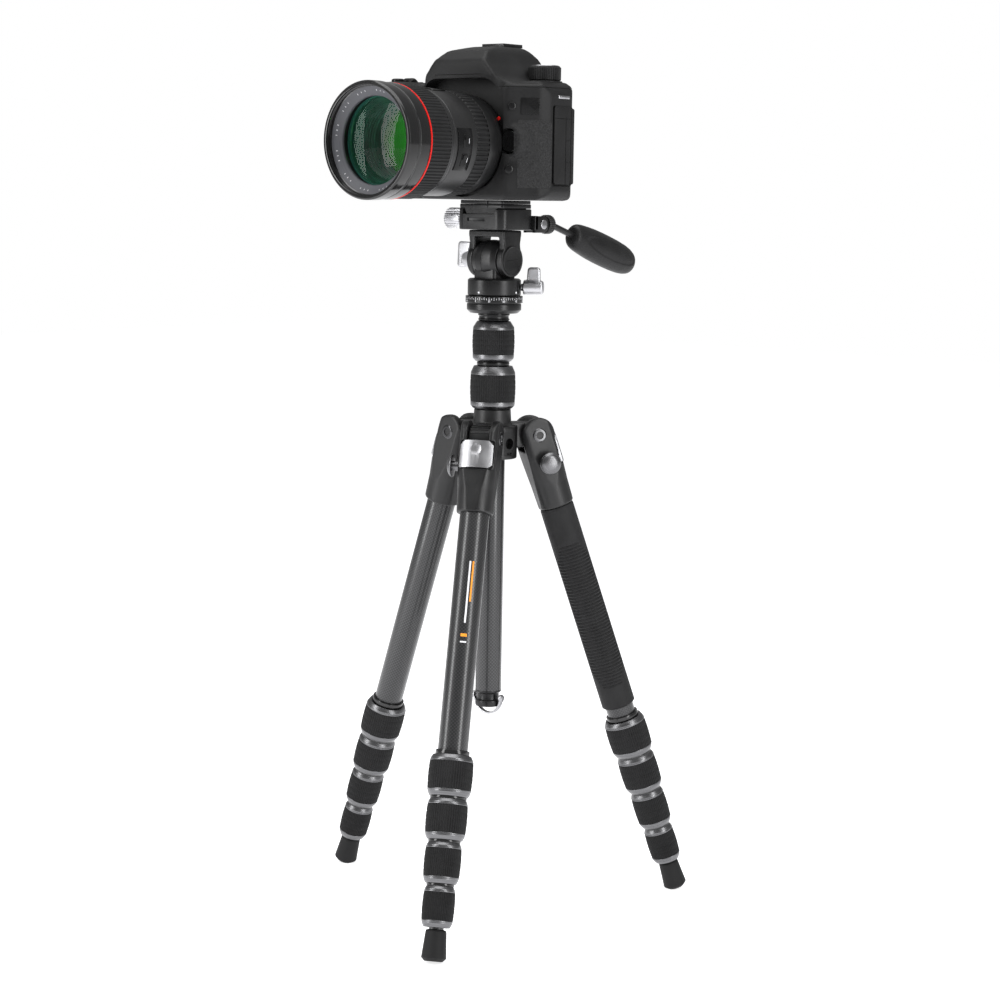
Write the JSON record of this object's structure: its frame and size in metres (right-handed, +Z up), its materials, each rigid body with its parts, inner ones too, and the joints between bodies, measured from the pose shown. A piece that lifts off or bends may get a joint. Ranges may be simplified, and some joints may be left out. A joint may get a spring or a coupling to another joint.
{
  "type": "camera on tripod",
  "caption": "Digital camera with a zoom lens on a travel tripod: pan-and-tilt head with a handle, twist-lock column and legs, and hinged leg castings.",
  "frame": {"origin": "centre of the bounding box at ground level, under the feet", "axes": "+Z up, the lens points along -Y, +X is the camera's own left side"},
  "size_m": [0.2608, 0.293, 0.6564],
  "materials": {
    "anodised_black": "satin anodised",
    "silver": "brushed",
    "satin_black": "satin",
    "carbon": "woven carbon fibre",
    "rubber": "matt",
    "camera_black": "fine textured",
    "gloss_black": "gloss",
    "glass": "green coated"
  },
  "bodies": {
    "spider": {"spider": "anodised_black"},
    "front_leg": {"front_leg_casting": "satin_black", "front_hinge_bolt": "anodised_black", "front_upper_tube": "carbon"},
    "front_latch": {"front_angle_latch": "silver"},
    "front_button": {"front_release_button": "silver"},
    "front_collar": {"front_twist_collar": "rubber"},
    "front_section_2": {"front_leg_section_2": "carbon"},
    "front_section_3": {"front_leg_section_3": "carbon"},
    "front_section_4": {"front_leg_section_4": "carbon"},
    "front_foot": {"front_foot_section": "rubber"},
    "right_leg": {"right_leg_casting": "satin_black", "right_hinge_bolt": "anodised_black", "right_upper_tube": "carbon"},
    "right_latch": {"right_angle_latch": "silver"},
    "right_button": {"right_release_button": "silver"},
    "right_collar": {"right_twist_collar": "rubber"},
    "right_section_2": {"right_leg_section_2": "carbon"},
    "right_section_3": {"right_leg_section_3": "carbon"},
    "right_section_4": {"right_leg_section_4": "carbon"},
    "right_foot": {"right_foot_section": "rubber"},
    "left_leg": {"left_leg_casting": "satin_black", "left_hinge_bolt": "anodised_black", "left_upper_tube": "carbon"},
    "left_latch": {"left_angle_latch": "silver"},
    "left_button": {"left_release_button": "silver"},
    "left_collar": {"left_twist_collar": "rubber"},
    "left_section_2": {"left_leg_section_2": "carbon"},
    "left_section_3": {"left_leg_section_3": "carbon"},
    "left_section_4": {"left_leg_section_4": "carbon"},
    "left_foot": {"left_foot_section": "rubber"},
    "lower_collar": {"lower_column_collar": "rubber"},
    "column": {"column_tube": "carbon"},
    "upper_collar": {"upper_column_collar": "rubber"},
    "inner_column": {"inner_column": "anodised_black", "head_base": "anodised_black"},
    "hook": {"weight_hook": "silver"},
    "pan": {"pan_body": "anodised_black"},
    "pan_knob": {"pan_lock_knob": "silver"},
    "tilt": {"tilt_yoke": "anodised_black", "clamp_body": "anodised_black"},
    "tilt_knob": {"tilt_lock_knob": "silver"},
    "jaw": {"clamp_jaw": "anodised_black"},
    "clamp_knob": {"clamp_knob": "silver"},
    "handle": {"handle_rod": "anodised_black", "handle_grip": "rubber"},
    "camera": {"quick_release_plate": "anodised_black", "camera_body": "camera_black", "rear_cover": "camera_black", "top_cover": "camera_black", "lens_barrel": "gloss_black"},
    "port_door": {"port_door": "rubber"},
    "mode_dial": {"mode_dial": "camera_black"},
    "control_wheel": {"control_wheel": "camera_black"},
    "shutter": {"shutter_button": "camera_black"},
    "lens_release": {"lens_release_button": "gloss_black"},
    "focus_ring": {"focus_ring": "rubber"},
    "zoom_ring": {"zoom_ring": "rubber"},
    "front_group": {"front_barrel": "gloss_black", "front_element": "glass"}
  },
  "joints": [
    {"name": "front_leg_swing", "type": "hinge", "parent": "spider", "child": "front_leg", "pos_m": [0.05079, -0.02706, 0.36522], "axis": [-0.891, -0.454, 0], "range_deg": [-19, 61]},
    {"name": "front_button_press", "type": "slide", "parent": "front_leg", "child": "front_button", "axis": [0.891, 0.454, 0], "range_m": [0, 0.003], "stiffness_N_per_m": 400, "springref_m": -0.002},
    {"name": "front_latch_slide", "type": "slide", "parent": "front_leg", "child": "front_latch", "axis": [0.4293, -0.8425, 0.3256], "range_m": [0, 0.0024]},
    {"name": "front_collar_twist", "type": "hinge", "parent": "front_leg", "child": "front_collar", "pos_m": [0.05079, -0.02706, 0.36522], "axis": [0.1478, -0.2901, -0.9455], "range_deg": [0, 110]},
    {"name": "front_section_2_slide", "type": "slide", "parent": "front_leg", "child": "front_section_2", "axis": [0.1478, -0.2901, -0.9455], "range_m": [0, 0.19]},
    {"name": "front_section_3_slide", "type": "slide", "parent": "front_section_2", "child": "front_section_3", "axis": [0.1478, -0.2901, -0.9455], "range_m": [0, 0.19]},
    {"name": "front_section_4_slide", "type": "slide", "parent": "front_section_3", "child": "front_section_4", "axis": [0.1478, -0.2901, -0.9455], "range_m": [0, 0.19]},
    {"name": "front_foot_slide", "type": "slide", "parent": "front_section_4", "child": "front_foot", "axis": [0.1478, -0.2901, -0.9455], "range_m": [0, 0.19]},
    {"name": "right_leg_swing", "type": "hinge", "parent": "spider", "child": "right_leg", "pos_m": [0.05381, 0.03053, 0.36522], "axis": [0.8387, -0.5446, 0], "range_deg": [-19, 61]},
    {"name": "right_button_press", "type": "slide", "parent": "right_leg", "child": "right_button", "axis": [-0.8387, 0.5446, 0], "range_m": [0, 0.003], "stiffness_N_per_m": 400, "springref_m": -0.002},
    {"name": "right_latch_slide", "type": "slide", "parent": "right_leg", "child": "right_latch", "axis": [0.515, 0.793, 0.3256], "range_m": [0, 0.0024]},
    {"name": "right_collar_twist", "type": "hinge", "parent": "right_leg", "child": "right_collar", "pos_m": [0.05381, 0.03053, 0.36522], "axis": [0.1773, 0.273, -0.9455], "range_deg": [0, 110]},
    {"name": "right_section_2_slide", "type": "slide", "parent": "right_leg", "child": "right_section_2", "axis": [0.1773, 0.273, -0.9455], "range_m": [0, 0.19]},
    {"name": "right_section_3_slide", "type": "slide", "parent": "right_section_2", "child": "right_section_3", "axis": [0.1773, 0.273, -0.9455], "range_m": [0, 0.19]},
    {"name": "right_section_4_slide", "type": "slide", "parent": "right_section_3", "child": "right_section_4", "axis": [0.1773, 0.273, -0.9455], "range_m": [0, 0.19]},
    {"name": "right_foot_slide", "type": "slide", "parent": "right_section_4", "child": "right_foot", "axis": [0.1773, 0.273, -0.9455], "range_m": [0, 0.19]},
    {"name": "left_leg_swing", "type": "hinge", "parent": "spider", "child": "left_leg", "pos_m": [0.00242, 0.00435, 0.36522], "axis": [0.0523, 0.9986, 0], "range_deg": [-19, 61]},
    {"name": "left_button_press", "type": "slide", "parent": "left_leg", "child": "left_button", "axis": [-0.0523, -0.9986, 0], "range_m": [0, 0.003], "stiffness_N_per_m": 400, "springref_m": -0.002},
    {"name": "left_latch_slide", "type": "slide", "parent": "left_leg", "child": "left_latch", "axis": [-0.9442, 0.0495, 0.3256], "range_m": [0, 0.0024]},
    {"name": "left_collar_twist", "type": "hinge", "parent": "left_leg", "child": "left_collar", "pos_m": [0.00242, 0.00435, 0.36522], "axis": [-0.3251, 0.017, -0.9455], "range_deg": [0, 110]},
    {"name": "left_section_2_slide", "type": "slide", "parent": "left_leg", "child": "left_section_2", "axis": [-0.3251, 0.017, -0.9455], "range_m": [0, 0.19]},
    {"name": "left_section_3_slide", "type": "slide", "parent": "left_section_2", "child": "left_section_3", "axis": [-0.3251, 0.017, -0.9455], "range_m": [0, 0.19]},
    {"name": "left_section_4_slide", "type": "slide", "parent": "left_section_3", "child": "left_section_4", "axis": [-0.3251, 0.017, -0.9455], "range_m": [0, 0.19]},
    {"name": "left_foot_slide", "type": "slide", "parent": "left_section_4", "child": "left_foot", "axis": [-0.3251, 0.017, -0.9455], "range_m": [0, 0.19]},
    {"name": "lower_collar_twist", "type": "hinge", "parent": "spider", "child": "lower_collar", "pos_m": [0.03567, 0.00261, 0.38511], "axis": [0, 0, 1], "range_deg": [0, 110]},
    {"name": "column_slide", "type": "slide", "parent": "spider", "child": "column", "axis": [0, 0, 1], "range_m": [0, 0.15]},
    {"name": "upper_collar_twist", "type": "hinge", "parent": "column", "child": "upper_collar", "pos_m": [0.03567, 0.00261, 0.42072], "axis": [0, 0, 1], "range_deg": [0, 110]},
    {"name": "inner_column_slide", "type": "slide", "parent": "column", "child": "inner_column", "axis": [0, 0, 1], "range_m": [0, 0.15]},
    {"name": "hook_swing", "type": "hinge", "parent": "column", "child": "hook", "pos_m": [0.03567, 0.00261, 0.16281], "axis": [1, 0, 0], "range_deg": [-80, 80]},
    {"name": "pan_turn", "type": "hinge", "parent": "inner_column", "child": "pan", "pos_m": [0.03567, 0.00261, 0.47042], "axis": [0, 0, 1], "continuous": true},
    {"name": "pan_knob_turn", "type": "hinge", "parent": "pan", "child": "pan_knob", "pos_m": [0.05304, 0.01263, 0.47671], "axis": [0.866, 0.5, 0], "range_deg": [0, 270]},
    {"name": "tilt", "type": "hinge", "parent": "pan", "child": "tilt", "pos_m": [0.03567, 0.00261, 0.49672], "axis": [1, 0, 0], "range_deg": [-45, 80]},
    {"name": "tilt_knob_turn", "type": "hinge", "parent": "tilt", "child": "tilt_knob", "pos_m": [0.01827, 0.00261, 0.49672], "axis": [-1, 0, 0], "range_deg": [0, 270]},
    {"name": "jaw_slide", "type": "slide", "parent": "tilt", "child": "jaw", "axis": [-1, 0, 0], "range_m": [0, 0.0025]},
    {"name": "clamp_knob_turn", "type": "hinge", "parent": "jaw", "child": "clamp_knob", "pos_m": [0.01267, 0.00261, 0.52716], "axis": [-1, 0, 0], "range_deg": [0, 900]},
    {"name": "handle_fold", "type": "hinge", "parent": "tilt", "child": "handle", "pos_m": [0.05567, 0.0286, 0.52372], "axis": [1, 0, 0], "range_deg": [-25, 40]},
    {"name": "plate_slide", "type": "slide", "parent": "tilt", "child": "camera", "axis": [0, 1, 0], "range_m": [-0.012, 0.008]},
    {"name": "port_door_swing", "type": "hinge", "parent": "camera", "child": "port_door", "pos_m": [0.09897, -0.0069, 0.58152], "axis": [0, 0, -1], "range_deg": [0, 110]},
    {"name": "mode_dial_turn", "type": "hinge", "parent": "camera", "child": "mode_dial", "pos_m": [0.07667, 0.0076, 0.63152], "axis": [0, 0, 1], "continuous": true},
    {"name": "control_wheel_turn", "type": "hinge", "parent": "camera", "child": "control_wheel", "pos_m": [-0.02033, 0.0206, 0.57151], "axis": [0, 1, 0], "continuous": true},
    {"name": "shutter_press", "type": "slide", "parent": "camera", "child": "shutter", "axis": [0, 0, -1], "range_m": [0, 0.001], "stiffness_N_per_m": 300, "springref_m": -0.001},
    {"name": "lens_release_press", "type": "slide", "parent": "camera", "child": "lens_release", "axis": [0, 1, 0], "range_m": [0, 0.002], "stiffness_N_per_m": 400, "springref_m": -0.001},
    {"name": "focus_turn", "type": "hinge", "parent": "camera", "child": "focus_ring", "pos_m": [0.03567, -0.0324, 0.58201], "axis": [0, -1, 0], "range_deg": [-60, 60]},
    {"name": "zoom_turn", "type": "hinge", "parent": "camera", "child": "zoom_ring", "pos_m": [0.03567, -0.0324, 0.58201], "axis": [0, -1, 0], "range_deg": [0, 70]},
    {"name": "front_group_slide", "type": "slide", "parent": "camera", "child": "front_group", "axis": [0, -1, 0], "range_m": [0, 0.023]}
  ],
  "couplings": [
    {"joint": "front_latch_slide", "follows": "front_button_press", "ratio": 0.8},
    {"joint": "right_latch_slide", "follows": "right_button_press", "ratio": 0.8},
    {"joint": "left_latch_slide", "follows": "left_button_press", "ratio": 0.8},
    {"joint": "jaw_slide", "follows": "clamp_knob_turn", "m_per_rad": 0.000159},
    {"joint": "front_group_slide", "follows": "zoom_turn", "m_per_rad": 0.018816}
  ]
}
